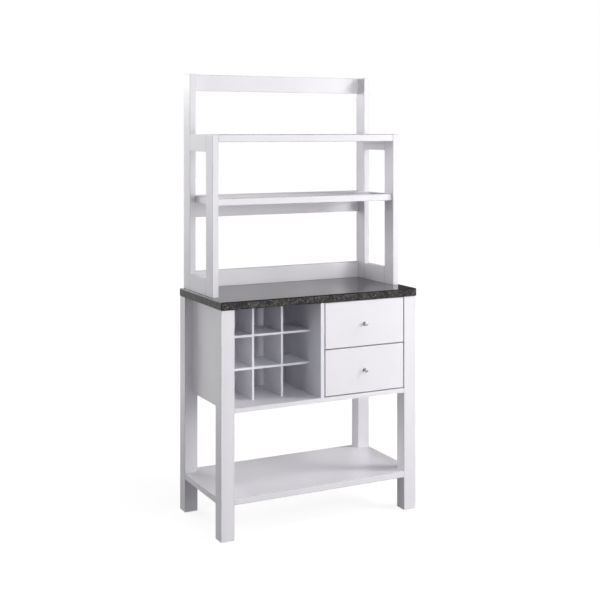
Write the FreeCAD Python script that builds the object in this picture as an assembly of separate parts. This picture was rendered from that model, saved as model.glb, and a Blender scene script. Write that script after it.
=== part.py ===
import FreeCAD, Part
import os

# Bakers rack: a counter-height cabinet on four square legs, with a wine lattice, two drawers
# and a low shelf, and an open hutch of two shelves standing on its stone-look counter.
# Millimetres. +X is to the right, the drawers face -Y, +Z is up. The origin is under the
# middle of the whole rack's box, on the floor. Left and right are as seen from the front.

# ---- driving dimensions: table frame -------------------------------------------------------
leg_size = 56.0                  # square legs
frame_width = 873.0              # over the legs
frame_depth = 437.0              # over the legs
counter_height = 914.0           # floor to the top of the counter
counter_thickness = 32.0
counter_overhang_side = 1.5
counter_overhang_front = 6.0
counter_overhang_back = 2.0
counter_edge_round = 2.0
lower_shelf_height = 162.0       # floor to the top of the low shelf
lower_shelf_thickness = 26.0
glide_radius = 19.0              # plastic glides nailed under the legs
glide_thickness = 1.2
glide_nail_radius = 1.5
glide_nail_length = 14.0

# ---- driving dimensions: cabinet -----------------------------------------------------------
cabinet_underside = 486.5        # floor to the underside of the cabinet's floor
panel_thickness = 18.0           # side panels and cabinet floor
partition_thickness = 16.0
compartment_depth = 318.5        # front of the frame to the back panel
back_panel_thickness = 6.0
groove_depth = 5.0               # groove that holds the back panel
back_edge_margin = 12.0          # cabinet floor behind the back panel's groove

# ---- driving dimensions: wine lattice ------------------------------------------------------
slat_thickness = 9.0
lattice_depth = 165.0
lattice_setback = 100.0          # front of the frame to the slats' front edges
wine_columns = 3
wine_rows = 3
dado_depth = 3.0                 # housings that hold the slats' ends

# ---- driving dimensions: drawers -----------------------------------------------------------
drawer_gap = 4.0                 # round and between the drawer fronts
drawer_top_gap = 2.0             # between the upper front and the counter
drawer_front_thickness = 18.0
drawer_side_thickness = 12.0
drawer_bottom_thickness = 5.0
drawer_bottom_rise = 10.0        # lower edge of the box to its bottom panel
drawer_groove_depth = 6.0
drawer_box_rise = 18.0           # lower edge of the front to the box
drawer_box_drop = 38.0           # top edge of the front to the box
drawer_rear_gap = 20.0           # box to the back panel
drawer_dowel_radius = 3.0
drawer_dowel_shares = (0.3, 0.7) # heights of a corner's dowels, as shares of the box's
blind_skin = 3.5                 # wood left behind a blind hole

# ---- driving dimensions: drawer runners ----------------------------------------------------
runner_space = 12.5              # cabinet wall to drawer side
runner_sheet = 1.2               # steel thickness
cabinet_runner_height = 35.0
cabinet_runner_depth = 9.0
drawer_runner_height = 25.0
runner_side_gap = 1.8            # drawer runner's flanges to the cabinet runner's web
runner_end_gap = 5.0             # runner's ends to the drawer box's ends
pad_length = 20.0                # nylon pads between the runners
pad_running_gap = 0.3
pad_side_gap = 0.5
runner_screw_radius = 1.75
runner_screw_length = 8.5
runner_screw_head_radius = 3.5
runner_screw_head_height = 1.2
runner_screw_inset = 35.0        # runner's end to its screws

# ---- driving dimensions: knobs -------------------------------------------------------------
knob_reach = 20.0                # drawer front to the knob's face
knob_head_radius = 8.0
knob_head_height = 6.0
knob_neck_radius = 4.2
knob_base_radius = 6.5
knob_base_height = 2.0
knob_dome = 1.6                  # crown of the face
knob_flare_start = 8.4           # drawer front to where the neck starts to widen
knob_underside_radius = 6.4      # where the flare meets the head
knob_widest_height = 2.4         # underside of the head to its widest ring
knob_rim_radius = 7.5            # where the crown starts
knob_flat_radius = 4.0           # flat middle of the face
knob_bore_depth = 12.0
knob_screw_radius = 2.0
knob_screw_head_radius = 4.0
knob_screw_head_height = 2.4
knob_left_of_middle = 3.0        # middle of the drawer front to the knob
knob_below_middle = 2.0

# ---- driving dimensions: hutch -------------------------------------------------------------
hutch_side_inset = 12.75         # outer face of a leg to the outer face of the post above it
hutch_depth = 312.5              # over the posts
hutch_setback = 11.5             # counter's back edge to the posts
hutch_board = 25.4               # thickness of posts and side rails
post_depth = 70.0
rear_post_height = 884.0
front_post_height = 637.0
side_rail_height = 68.0
backsplash_height = 70.0
top_rail_height = 67.0
back_rail_thickness = 19.0
middle_rail_height = 63.5
middle_shelf_height = 385.0      # counter to the top of the middle shelf
middle_shelf_thickness = 28.0
middle_shelf_setback = 10.5      # front posts' face to the shelf's front edge
top_shelf_thickness = 30.0

# ---- driving dimensions: edges and fasteners -----------------------------------------------
board_edge_round = 1.5
shelf_edge_round = 2.5
panel_edge_round = 0.5
hole_clearance = 0.1             # radial, round every fastener
hole_end_gap = 1.0               # past the end of a blind fastener
slot_clearance = 0.1             # each side of a slat or panel in its housing
cut_past = 1.0                   # how far an open slot's cutter runs past the face
dowel_radius = 4.0
dowel_bite = 15.0                # length of a dowel in each board
rail_dowel_shares = (0.25, 0.75)         # dowels of a rail, as shares of its height
hutch_screw_shares = (0.25, 0.75)        # screws of a counter rail, as shares of its length
panel_dowel_shares = (0.15, 0.5, 0.8)    # dowels of a side panel, as shares of its height
cam_bolt_radius = 3.0
cam_bolt_neck_radius = 2.2
cam_bolt_head_radius = 3.4
cam_bolt_head_length = 3.0
cam_bolt_neck_length = 4.0
cam_bolt_bite = 10.0             # threaded length in the upright
cam_lock_radius = 7.5
cam_lock_reach = 34.0            # board's end to the centre of its lock
cam_lock_past_axis = 4.0         # lock's depth beyond the bolt's axis
cam_lock_slot_width = 1.6
cam_lock_slot_depth = 1.5
hutch_screw_radius = 2.5
hutch_screw_head_radius = 5.0
hutch_screw_head_height = 3.0
hutch_screw_bite = 30.0          # length in the hutch's side rail

# ---- planes that the pieces share ----------------------------------------------------------
front_reach = max(knob_reach, counter_overhang_front)
middle_y = (front_reach - counter_overhang_back) / 2
legs_front = middle_y - frame_depth / 2
legs_back = middle_y + frame_depth / 2
legs_right = frame_width / 2
bay_right = legs_right - leg_size           # inner faces of legs and side panels
bay_front = legs_front + leg_size           # between the legs, front to back
bay_back = legs_back - leg_size
counter_underside = counter_height - counter_thickness
cabinet_floor = cabinet_underside + panel_thickness
back_panel_front = legs_front + compartment_depth
back_panel_back = back_panel_front + back_panel_thickness
partition_side = partition_thickness / 2
hutch_right = legs_right - hutch_side_inset
hutch_inside = hutch_right - hutch_board
hutch_back = legs_back + counter_overhang_back - hutch_setback
hutch_front = hutch_back - hutch_depth
front_post_back = hutch_front + post_depth
rear_post_front = hutch_back - post_depth
hutch_top = counter_height + rear_post_height
top_shelf_height = counter_height + front_post_height
middle_shelf_top = counter_height + middle_shelf_height
middle_shelf_underside = middle_shelf_top - middle_shelf_thickness
back_rail_front = hutch_back - back_rail_thickness

X_AXIS = FreeCAD.Vector(1, 0, 0)
Y_AXIS = FreeCAD.Vector(0, 1, 0)
Z_AXIS = FreeCAD.Vector(0, 0, 1)

nodes = {}          # node name -> list of solids
bores = []          # every hole that a fastener of the frame or hutch needs
SIDES = (("left", -1), ("right", 1))


# ---- shapes --------------------------------------------------------------------------------
def block(x, y, z):
    """Plain box between two values on each axis."""
    x, y, z = sorted(x), sorted(y), sorted(z)
    return Part.makeBox(x[1] - x[0], y[1] - y[0], z[1] - z[0], FreeCAD.Vector(x[0], y[0], z[0]))


def board(x, y, z, edge_round=board_edge_round):
    """Box whose edges are all eased, as a machined and painted board's are."""
    solid = block(x, y, z)
    thinnest = min(solid.BoundBox.XLength, solid.BoundBox.YLength, solid.BoundBox.ZLength)
    return solid.makeFillet(min(edge_round, thinnest / 4), solid.Edges)


def rod(start, direction, length, radius):
    return Part.makeCylinder(radius, length, start, direction)


def turned(profile, base, direction):
    """Solid of revolution: profile is (distance along the axis, radius) from one end to the other."""
    ends = [(profile[0][0], 0.0)] + list(profile) + [(profile[-1][0], 0.0)]
    points = [FreeCAD.Vector(radius, 0, along) for along, radius in ends]
    wire = Part.makePolygon(points + points[:1])
    solid = Part.Face(wire).revolve(FreeCAD.Vector(0, 0, 0), Z_AXIS, 360)
    solid.Placement = FreeCAD.Placement(base, FreeCAD.Rotation(Z_AXIS, direction))
    return solid


def drilled(solid, holes):
    """The solid less the holes that reach it."""
    near = [hole for hole in holes if hole.BoundBox.intersect(solid.BoundBox)]
    return solid.cut(near) if near else solid


def keep(name, *solids):
    nodes.setdefault(name, []).extend(solids)


# ---- fasteners of the frame and the hutch --------------------------------------------------
def dowel(x, y, z, axis):
    """Beech dowel across the joint plane through (x, y, z), half of it in each board."""
    centre = FreeCAD.Vector(x, y, z)
    keep("wood_dowels", rod(centre - axis * dowel_bite, axis, 2 * dowel_bite, dowel_radius))
    hole_bite = dowel_bite + hole_end_gap
    bores.append(rod(centre - axis * hole_bite, axis, 2 * hole_bite, dowel_radius + hole_clearance))


def cam_joint(joint, inward, face, depth):
    """Cam bolt in an upright and its lock in the board that meets it.

    joint is on the upright's face, inward points into the board, face points out of the
    board's face that the lock is let into, and depth is the bolt's distance below that face.
    """
    shank = cam_lock_reach - cam_bolt_head_length / 2 - cam_bolt_neck_length
    neck_end = shank + cam_bolt_neck_length
    profile = [
        (-cam_bolt_bite, cam_bolt_radius),
        (shank, cam_bolt_radius),
        (shank, cam_bolt_neck_radius),
        (neck_end, cam_bolt_neck_radius),
        (neck_end, cam_bolt_head_radius),
        (neck_end + cam_bolt_head_length, cam_bolt_head_radius),
    ]
    keep("cam_bolts", turned(profile, joint, inward))
    thread_start = joint - inward * (cam_bolt_bite + hole_end_gap)
    thread_hole = cam_bolt_bite + hole_end_gap
    bores.append(rod(thread_start, inward, thread_hole, cam_bolt_radius + hole_clearance))
    head_hole_radius = cam_bolt_head_radius + hole_clearance
    bores.append(rod(joint, inward, cam_lock_reach, head_hole_radius))
    lock_centre = joint + inward * cam_lock_reach
    lock_depth = depth + cam_lock_past_axis
    mouth = lock_centre + face * depth
    lock = rod(mouth, face * -1, lock_depth, cam_lock_radius)
    passage_start = lock_centre + inward * (cam_bolt_head_length / 2 + hole_clearance)
    lock = lock.cut(rod(passage_start, inward * -1, cam_lock_reach, head_hole_radius))
    slot = block(
        (-cam_lock_radius, cam_lock_radius),
        (-cam_lock_slot_width / 2, cam_lock_slot_width / 2),
        (-cam_lock_slot_depth, cam_lock_slot_depth),
    )
    slot.Placement = FreeCAD.Placement(mouth, FreeCAD.Rotation(Z_AXIS, face))
    keep("cam_locks", lock.cut(slot))
    pocket_depth = lock_depth + hole_clearance
    bores.append(rod(mouth, face * -1, pocket_depth, cam_lock_radius + hole_clearance))


def fasten_frame():
    down = Z_AXIS * -1
    panel_middle = bay_right + panel_thickness / 2
    cabinet_height = counter_underside - cabinet_underside
    leg_centre_x = legs_right - leg_size / 2
    shelf_middle = lower_shelf_height - lower_shelf_thickness / 2
    floor_middle = cabinet_underside + panel_thickness / 2
    for _, side in SIDES:
        inward = X_AXIS * -side
        front_leg_y = legs_front + leg_size / 2
        rear_leg_y = legs_back - leg_size / 2
        for joint_y, leg_y in ((bay_front, front_leg_y), (bay_back, rear_leg_y)):
            # Side panel to leg: three dowels. Leg to counter: one. Low shelf to leg: one and a cam.
            for share in panel_dowel_shares:
                dowel(side * panel_middle, joint_y, cabinet_underside + share * cabinet_height, Y_AXIS)
            dowel(side * leg_centre_x, leg_y, counter_underside, Z_AXIS)
            dowel(side * leg_centre_x, joint_y, shelf_middle, Y_AXIS)
            shelf_joint = FreeCAD.Vector(side * bay_right, leg_y, shelf_middle)
            cam_joint(shelf_joint, inward, down, lower_shelf_thickness / 2)
        for cam_y in (bay_front + cam_lock_reach, back_panel_front - cam_lock_reach):
            # Cabinet floor to side panel from below, and counter to side panel from inside.
            floor_joint = FreeCAD.Vector(side * bay_right, cam_y, floor_middle)
            cam_joint(floor_joint, inward, down, panel_thickness / 2)
        for cam_y in (bay_front + cam_lock_reach / 2, back_panel_front - cam_lock_reach / 2):
            counter_joint = FreeCAD.Vector(side * panel_middle, cam_y, counter_underside)
            cam_joint(counter_joint, down, inward, panel_thickness / 2)
    for dowel_y in (bay_front, (bay_front + back_panel_front) / 2, back_panel_front - leg_size / 2):
        dowel(0, dowel_y, cabinet_floor, Z_AXIS)
        dowel(0, dowel_y, counter_underside, Z_AXIS)


def fasten_hutch():
    down = Z_AXIS * -1
    rail_middle = hutch_right - hutch_board / 2
    front_post_y = hutch_front + post_depth / 2
    rear_post_y = hutch_back - post_depth / 2
    back_rail_y = hutch_back - back_rail_thickness / 2
    top_rail_bottom = top_shelf_height - side_rail_height
    for _, side in SIDES:
        inward = X_AXIS * -side
        for bottom in (counter_height, top_rail_bottom):
            for share in rail_dowel_shares:
                # Side rails to posts.
                height = bottom + share * side_rail_height
                dowel(side * rail_middle, front_post_back, height, Y_AXIS)
                dowel(side * rail_middle, rear_post_front, height, Y_AXIS)
        for bottom, height in (
            (counter_height, backsplash_height),
            (middle_shelf_underside - middle_rail_height, middle_rail_height),
            (hutch_top - top_rail_height, top_rail_height),
        ):
            for share in rail_dowel_shares:
                # Backsplash, middle rail and top rail to the rear posts.
                dowel(side * hutch_inside, back_rail_y, bottom + share * height, X_AXIS)
        for post_y in (front_post_y, rear_post_y):
            # Posts to counter, and shelves to posts.
            dowel(side * rail_middle, post_y, counter_height, Z_AXIS)
            for top, thickness in (
                (middle_shelf_top, middle_shelf_thickness),
                (top_shelf_height, top_shelf_thickness),
            ):
                joint = FreeCAD.Vector(side * hutch_inside, post_y, top - thickness / 2)
                cam_joint(joint, inward, down, thickness / 2)
        for share in hutch_screw_shares:
            hutch_screw(side * rail_middle, front_post_back + share * (rear_post_front - front_post_back))


def hutch_screw(x, y):
    """Countersunk screw from under the counter up into a side rail."""
    length = counter_thickness + hutch_screw_bite
    profile = [
        (0, hutch_screw_head_radius),
        (hutch_screw_head_height, hutch_screw_radius),
        (length, hutch_screw_radius),
    ]
    base = FreeCAD.Vector(x, y, counter_underside)
    keep("hutch_screws", turned(profile, base, Z_AXIS))
    hole = [
        (0, hutch_screw_head_radius + hole_clearance),
        (hutch_screw_head_height, hutch_screw_radius + hole_clearance),
        (length + hole_end_gap, hutch_screw_radius + hole_clearance),
    ]
    bores.append(turned(hole, base, Z_AXIS))


# ---- table frame ---------------------------------------------------------------------------
def make_legs_and_glides():
    rows = (("front", legs_front, bay_front), ("rear", bay_back, legs_back))
    for side_name, side in SIDES:
        for row_name, y_low, y_high in rows:
            x = (side * bay_right, side * legs_right)
            leg = board(x, (y_low, y_high), (glide_thickness, counter_underside))
            centre = FreeCAD.Vector(side * (legs_right - leg_size / 2), (y_low + y_high) / 2, 0)
            nail_hole = glide_nail_length + hole_end_gap
            foot = centre + Z_AXIS * glide_thickness
            leg = leg.cut(rod(foot, Z_AXIS, nail_hole, glide_nail_radius + hole_clearance))
            keep("leg_" + row_name + "_" + side_name, drilled(leg, bores))
            disc = rod(centre, Z_AXIS, glide_thickness, glide_radius)
            nail = rod(centre, Z_AXIS, glide_thickness + glide_nail_length, glide_nail_radius)
            keep("leg_glides", disc.fuse(nail).removeSplitter())


def make_lower_shelf():
    """Low shelf, as wide and deep as the frame, notched round the four legs."""
    z = (lower_shelf_height - lower_shelf_thickness, lower_shelf_height)
    shelf = board((-legs_right, legs_right), (legs_front, legs_back), z, shelf_edge_round)
    for _, side in SIDES:
        for y in ((legs_front - leg_size, bay_front), (bay_back, legs_back + leg_size)):
            notch_x = (side * bay_right, side * (legs_right + leg_size))
            shelf = shelf.cut(block(notch_x, y, (z[0] - cut_past, z[1] + cut_past)))
    keep("lower_shelf", drilled(shelf, bores))


def make_countertop():
    x = legs_right + counter_overhang_side
    y = (legs_front - counter_overhang_front, legs_back + counter_overhang_back)
    slab = block((-x, x), y, (counter_underside, counter_height))
    top_edges = [edge for edge in slab.Edges if edge.BoundBox.ZMin > counter_height - 0.01]
    keep("countertop", drilled(slab.makeFillet(counter_edge_round, top_edges), bores))


# ---- cabinet -------------------------------------------------------------------------------
def slat_centres(low, high, count):
    """Centres of the slats that divide low to high into equal openings."""
    opening = (high - low - (count - 1) * slat_thickness) / count
    return [low + (i + 1) * opening + (i + 0.5) * slat_thickness for i in range(count - 1)]


lattice_front = legs_front + lattice_setback
lattice_back = lattice_front + lattice_depth
lattice_middle = (lattice_front + lattice_back) / 2
upright_centres = slat_centres(-bay_right, -partition_side, wine_columns)
level_centres = slat_centres(cabinet_floor, counter_underside, wine_rows)


def slat_span(centre, clearance=0.0):
    return (centre - slat_thickness / 2 - clearance, centre + slat_thickness / 2 + clearance)


def make_lattice():
    """Uprights and levels that slide into each other with half-lap slots."""
    x = (-bay_right - dado_depth, -partition_side + dado_depth)
    z = (cabinet_floor - dado_depth, counter_underside)
    y = (lattice_front, lattice_back)
    for number, centre in enumerate(upright_centres, 1):
        upright = board(slat_span(centre), y, z, panel_edge_round)
        for level in level_centres:
            slot_y = (lattice_front - cut_past, lattice_middle + slot_clearance)
            slot = block(slat_span(centre, cut_past), slot_y, slat_span(level, slot_clearance))
            upright = upright.cut(slot)
        keep("wine_upright_" + str(number), upright)
    for number, centre in enumerate(level_centres, 1):
        level = board(x, y, slat_span(centre), panel_edge_round)
        for upright in upright_centres:
            slot_y = (lattice_middle - slot_clearance, lattice_back + cut_past)
            slot = block(slat_span(upright, slot_clearance), slot_y, slat_span(centre, cut_past))
            level = level.cut(slot)
        keep("wine_level_" + str(number), level)


def level_dados(wall, inward):
    """Stopped housings in a wall of the wine bay; inward is +1 or -1 along X, into the bay."""
    y = (lattice_front - slot_clearance, lattice_back + slot_clearance)
    x = (wall + inward * cut_past, wall - inward * (dado_depth + slot_clearance))
    return [block(x, y, slat_span(centre, slot_clearance)) for centre in level_centres]


def back_groove(x, z):
    y = (back_panel_front - slot_clearance, back_panel_back + slot_clearance)
    return block(x, y, z)


def make_cabinet():
    groove = groove_depth + slot_clearance
    full_height = (cabinet_underside, counter_underside)
    for side_name, side in SIDES:
        x = (side * bay_right, side * (bay_right + panel_thickness))
        panel = board(x, (bay_front, bay_back), full_height, panel_edge_round)
        groove_x = (side * (bay_right - cut_past), side * (bay_right + groove))
        groove_z = (cabinet_floor - groove, counter_underside + cut_past)
        panel = panel.cut(back_groove(groove_x, groove_z))
        if side < 0:
            panel = panel.cut(level_dados(-bay_right, 1))
        keep("side_panel_" + side_name, panel)
    floor_back = back_panel_back + back_edge_margin
    floor_z = (cabinet_underside, cabinet_floor)
    floor = board((-bay_right, bay_right), (legs_front, floor_back), floor_z, panel_edge_round)
    groove_x = (-bay_right - cut_past, bay_right + cut_past)
    floor = floor.cut(back_groove(groove_x, (cabinet_floor - groove, cabinet_floor + cut_past)))
    dado_y = (lattice_front - slot_clearance, lattice_back + slot_clearance)
    dado_z = (cabinet_floor - dado_depth - slot_clearance, cabinet_floor + cut_past)
    for centre in upright_centres:
        floor = floor.cut(block(slat_span(centre, slot_clearance), dado_y, dado_z))
    keep("cabinet_floor", floor)
    partition_x = (-partition_side, partition_side)
    partition_y = (legs_front, back_panel_front)
    partition = board(partition_x, partition_y, (cabinet_floor, counter_underside), panel_edge_round)
    keep("centre_partition", partition.cut(level_dados(-partition_side, -1)))
    back_x = (-bay_right - groove_depth, bay_right + groove_depth)
    back_z = (cabinet_floor - groove_depth, counter_underside)
    keep("back_panel", block(back_x, (back_panel_front, back_panel_back), back_z))
    for name in ("side_panel_left", "side_panel_right", "cabinet_floor", "centre_partition"):
        nodes[name] = [drilled(solid, bores + runner_bores) for solid in nodes[name]]


# ---- drawers and their runners -------------------------------------------------------------
drawer_bay_left = partition_side
DRAWERS = ("lower", "upper")
drawer_stack_height = counter_underside - drawer_top_gap - cabinet_floor
drawer_front_height = drawer_stack_height / len(DRAWERS) - drawer_gap
drawer_left = drawer_bay_left + runner_space            # outer faces of the drawer box
drawer_right = bay_right - runner_space
drawer_box_front = legs_front + drawer_front_thickness
drawer_box_back = back_panel_front - drawer_rear_gap
runner_front = drawer_box_front + runner_end_gap
runner_back = drawer_box_back - runner_end_gap
runner_bores = []


def channel(wall, inward, depth, height, middle):
    """Steel C channel along Y: web against the wall, flanges pointing inward."""
    y = (runner_front, runner_back)
    outside = block((wall, wall + inward * depth), y, (middle - height / 2, middle + height / 2))
    hollow_z = (middle - height / 2 + runner_sheet, middle + height / 2 - runner_sheet)
    hollow_x = (wall + inward * runner_sheet, wall + inward * (depth + cut_past))
    hollow = block(hollow_x, (y[0] - cut_past, y[1] + cut_past), hollow_z)
    return outside.cut(hollow)


def runner_screws(name, wall, inward, middle, holes):
    """Two pan-head screws through a channel's web into the board behind it."""
    direction = X_AXIS * -inward
    for y in (runner_front + runner_screw_inset, runner_back - runner_screw_inset):
        web_face = FreeCAD.Vector(wall + inward * runner_sheet, y, middle)
        head = rod(web_face, direction * -1, runner_screw_head_height, runner_screw_head_radius)
        shank = rod(web_face, direction, runner_sheet + runner_screw_length, runner_screw_radius)
        keep(name, head.fuse(shank))
        hole_length = runner_sheet + runner_screw_length + hole_end_gap / 2
        holes.append(rod(web_face, direction, hole_length, runner_screw_radius + hole_clearance))


def runner_pads(name, wall, inward, middle, y, z_low, z_high):
    """Nylon pads above and below the drawer runner, between its flanges and the cabinet's."""
    x_low = runner_space - cabinet_runner_depth + pad_side_gap
    x_high = runner_space - runner_sheet - runner_side_gap - pad_side_gap
    x = (wall - inward * x_low, wall - inward * x_high)
    keep(name, block(x, y, (middle + z_low, middle + z_high)))
    keep(name, block(x, y, (middle - z_high, middle - z_low)))


def make_runners(position, middle):
    """Cabinet and drawer channels on both sides of one drawer, with their screws and pads."""
    drawer_holes = []
    inner_flange = drawer_runner_height / 2
    outer_flange = cabinet_runner_height / 2 - runner_sheet
    drawer_runner_depth = runner_space - runner_sheet - runner_side_gap
    for cabinet_wall, drawer_wall, inward in (
        (drawer_bay_left, drawer_left, 1),
        (bay_right, drawer_right, -1),
    ):
        cabinet_side = channel(cabinet_wall, inward, cabinet_runner_depth, cabinet_runner_height, middle)
        screw_holes = []
        runner_screws("cabinet_runner_screws", cabinet_wall, inward, middle, screw_holes)
        keep("cabinet_runners_" + position, drilled(cabinet_side, screw_holes))
        runner_bores.extend(screw_holes)
        drawer_side = channel(drawer_wall, -inward, drawer_runner_depth, drawer_runner_height, middle)
        screw_holes = []
        runner_screws(position + "_drawer_runner_screws", drawer_wall, -inward, middle, screw_holes)
        keep(position + "_drawer_runners", drilled(drawer_side, screw_holes))
        drawer_holes.extend(screw_holes)
        cabinet_y = (runner_front, runner_front + pad_length)
        drawer_y = (runner_back - pad_length, runner_back)
        cabinet_z = (inner_flange + pad_running_gap, outer_flange)
        drawer_z = (inner_flange, outer_flange - pad_running_gap)
        runner_pads("cabinet_runner_pads", drawer_wall, inward, middle, cabinet_y, *cabinet_z)
        runner_pads(position + "_drawer_pads", drawer_wall, inward, middle, drawer_y, *drawer_z)
    return drawer_holes


def make_knob(position, x, z):
    """Turned metal knob on the drawer front, and the machine screw that holds it from inside."""
    base = FreeCAD.Vector(x, legs_front, z)
    head_start = knob_reach - knob_head_height
    profile = [
        (0, knob_base_radius),
        (knob_base_height, knob_base_radius),
        (2 * knob_base_height, knob_neck_radius),
        (knob_flare_start, knob_neck_radius),
        (head_start, knob_underside_radius),
        (head_start + knob_widest_height, knob_head_radius),
        (knob_reach - knob_dome, knob_rim_radius),
        (knob_reach, knob_flat_radius),
    ]
    out = Y_AXIS * -1
    bore = rod(base, out, knob_bore_depth + hole_end_gap, knob_screw_radius + hole_clearance)
    keep(position + "_drawer_knob", turned(profile, base, out).cut(bore))
    inside = base + Y_AXIS * drawer_front_thickness
    head = rod(inside, Y_AXIS, knob_screw_head_height, knob_screw_head_radius)
    shank = rod(inside, out, drawer_front_thickness + knob_bore_depth, knob_screw_radius)
    keep(position + "_drawer_knob_screw", head.fuse(shank))
    return rod(inside, out, drawer_front_thickness, knob_screw_radius + 2 * hole_clearance)


def make_drawer(position, front_bottom):
    front_top = front_bottom + drawer_front_height
    front_x = (drawer_bay_left + drawer_gap, bay_right - drawer_gap)
    front_y = (legs_front, drawer_box_front)
    box_z = (front_bottom + drawer_box_rise, front_top - drawer_box_drop)
    box_middle = (box_z[0] + box_z[1]) / 2
    inner_left = drawer_left + drawer_side_thickness
    inner_right = drawer_right - drawer_side_thickness
    back_y = (drawer_box_back - drawer_side_thickness, drawer_box_back)
    name = position + "_drawer_"
    holes = make_runners(position, box_middle)
    # Dowels: sides into the front, back into the sides.
    bite = drawer_side_thickness - blind_skin
    hole_bite = bite + hole_end_gap / 2
    for side_wall, inward in ((inner_left, 1), (inner_right, -1)):
        for share in drawer_dowel_shares:
            z = box_z[0] + share * (box_z[1] - box_z[0])
            side_middle = side_wall - inward * drawer_side_thickness / 2
            front_joint = FreeCAD.Vector(side_middle, drawer_box_front, z)
            back_joint = FreeCAD.Vector(side_wall, sum(back_y) / 2, z)
            for joint, axis in ((front_joint, Y_AXIS), (back_joint, X_AXIS)):
                keep(name + "dowels", rod(joint - axis * bite, axis, 2 * bite, drawer_dowel_radius))
                start = joint - axis * hole_bite
                holes.append(rod(start, axis, 2 * hole_bite, drawer_dowel_radius + hole_clearance))
    knob_x = sum(front_x) / 2 - knob_left_of_middle
    knob_z = (front_bottom + front_top) / 2 - knob_below_middle
    holes.append(make_knob(position, knob_x, knob_z))
    # Bottom panel, in a groove that runs round all four boards.
    bottom_z = (box_z[0] + drawer_bottom_rise, box_z[0] + drawer_bottom_rise + drawer_bottom_thickness)
    bottom_x = (inner_left - drawer_groove_depth, inner_right + drawer_groove_depth)
    bottom_y = (drawer_box_front - drawer_groove_depth, back_y[0] + drawer_groove_depth)
    keep(name + "bottom", block(bottom_x, bottom_y, bottom_z))
    holes.append(block(
        (bottom_x[0] - slot_clearance, bottom_x[1] + slot_clearance),
        (bottom_y[0] - slot_clearance, bottom_y[1] + slot_clearance),
        (bottom_z[0] - slot_clearance, bottom_z[1] + slot_clearance),
    ))
    front = board(front_x, front_y, (front_bottom, front_top), board_edge_round)
    keep(name + "front", drilled(front, holes))
    for side_name, x in (("left", (drawer_left, inner_left)), ("right", (inner_right, drawer_right))):
        side = board(x, (drawer_box_front, drawer_box_back), box_z, panel_edge_round)
        keep(name + "side_" + side_name, drilled(side, holes))
    back = board((inner_left, inner_right), back_y, box_z, panel_edge_round)
    keep(name + "back", drilled(back, holes))


def make_drawers():
    for row, position in enumerate(DRAWERS):
        make_drawer(position, cabinet_floor + drawer_gap + row * (drawer_front_height + drawer_gap))


# ---- hutch ---------------------------------------------------------------------------------
def make_hutch():
    post_rows = (
        ("front", (hutch_front, front_post_back), top_shelf_height),
        ("rear", (rear_post_front, hutch_back), hutch_top),
    )
    rail_rows = (
        ("counter_rail", (counter_height, counter_height + side_rail_height)),
        ("top_side_rail", (top_shelf_height - side_rail_height, top_shelf_height)),
    )
    for side_name, side in SIDES:
        x = (side * hutch_inside, side * hutch_right)
        for row_name, y, top in post_rows:
            keep("post_" + row_name + "_" + side_name, board(x, y, (counter_height, top)))
        for rail_name, z in rail_rows:
            keep(rail_name + "_" + side_name, board(x, (front_post_back, rear_post_front), z))
    inside = (-hutch_inside, hutch_inside)
    rail_y = (back_rail_front, hutch_back)
    keep("backsplash", board(inside, rail_y, (counter_height, counter_height + backsplash_height)))
    middle_rail_z = (middle_shelf_underside - middle_rail_height, middle_shelf_underside)
    keep("middle_rail", board(inside, rail_y, middle_rail_z))
    keep("top_rail", board(inside, rail_y, (hutch_top - top_rail_height, hutch_top)))
    middle_y_span = (hutch_front + middle_shelf_setback, hutch_back)
    middle_z = (middle_shelf_underside, middle_shelf_top)
    keep("middle_shelf", board(inside, middle_y_span, middle_z, shelf_edge_round))
    top_z = (top_shelf_height - top_shelf_thickness, top_shelf_height)
    keep("top_shelf", board(inside, (hutch_front, hutch_back), top_z, shelf_edge_round))


HUTCH_NODES = (
    "post_front_left", "post_front_right", "post_rear_left", "post_rear_right",
    "counter_rail_left", "counter_rail_right", "top_side_rail_left", "top_side_rail_right",
    "backsplash", "middle_rail", "top_rail", "middle_shelf", "top_shelf",
)

fasten_frame()
fasten_hutch()
make_legs_and_glides()
make_lower_shelf()
make_countertop()
make_lattice()
make_drawers()
make_cabinet()
make_hutch()
for name in HUTCH_NODES:
    nodes[name] = [drilled(solid, bores) for solid in nodes[name]]

os.makedirs("parts", exist_ok=True)
for name, solids in nodes.items():
    shape = solids[0] if len(solids) == 1 else Part.makeCompound(solids)
    shape.exportStep("parts/" + name + ".step")
print(len(nodes), "nodes,", sum(len(solids) for solids in nodes.values()), "solids")
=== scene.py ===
import math

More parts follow.
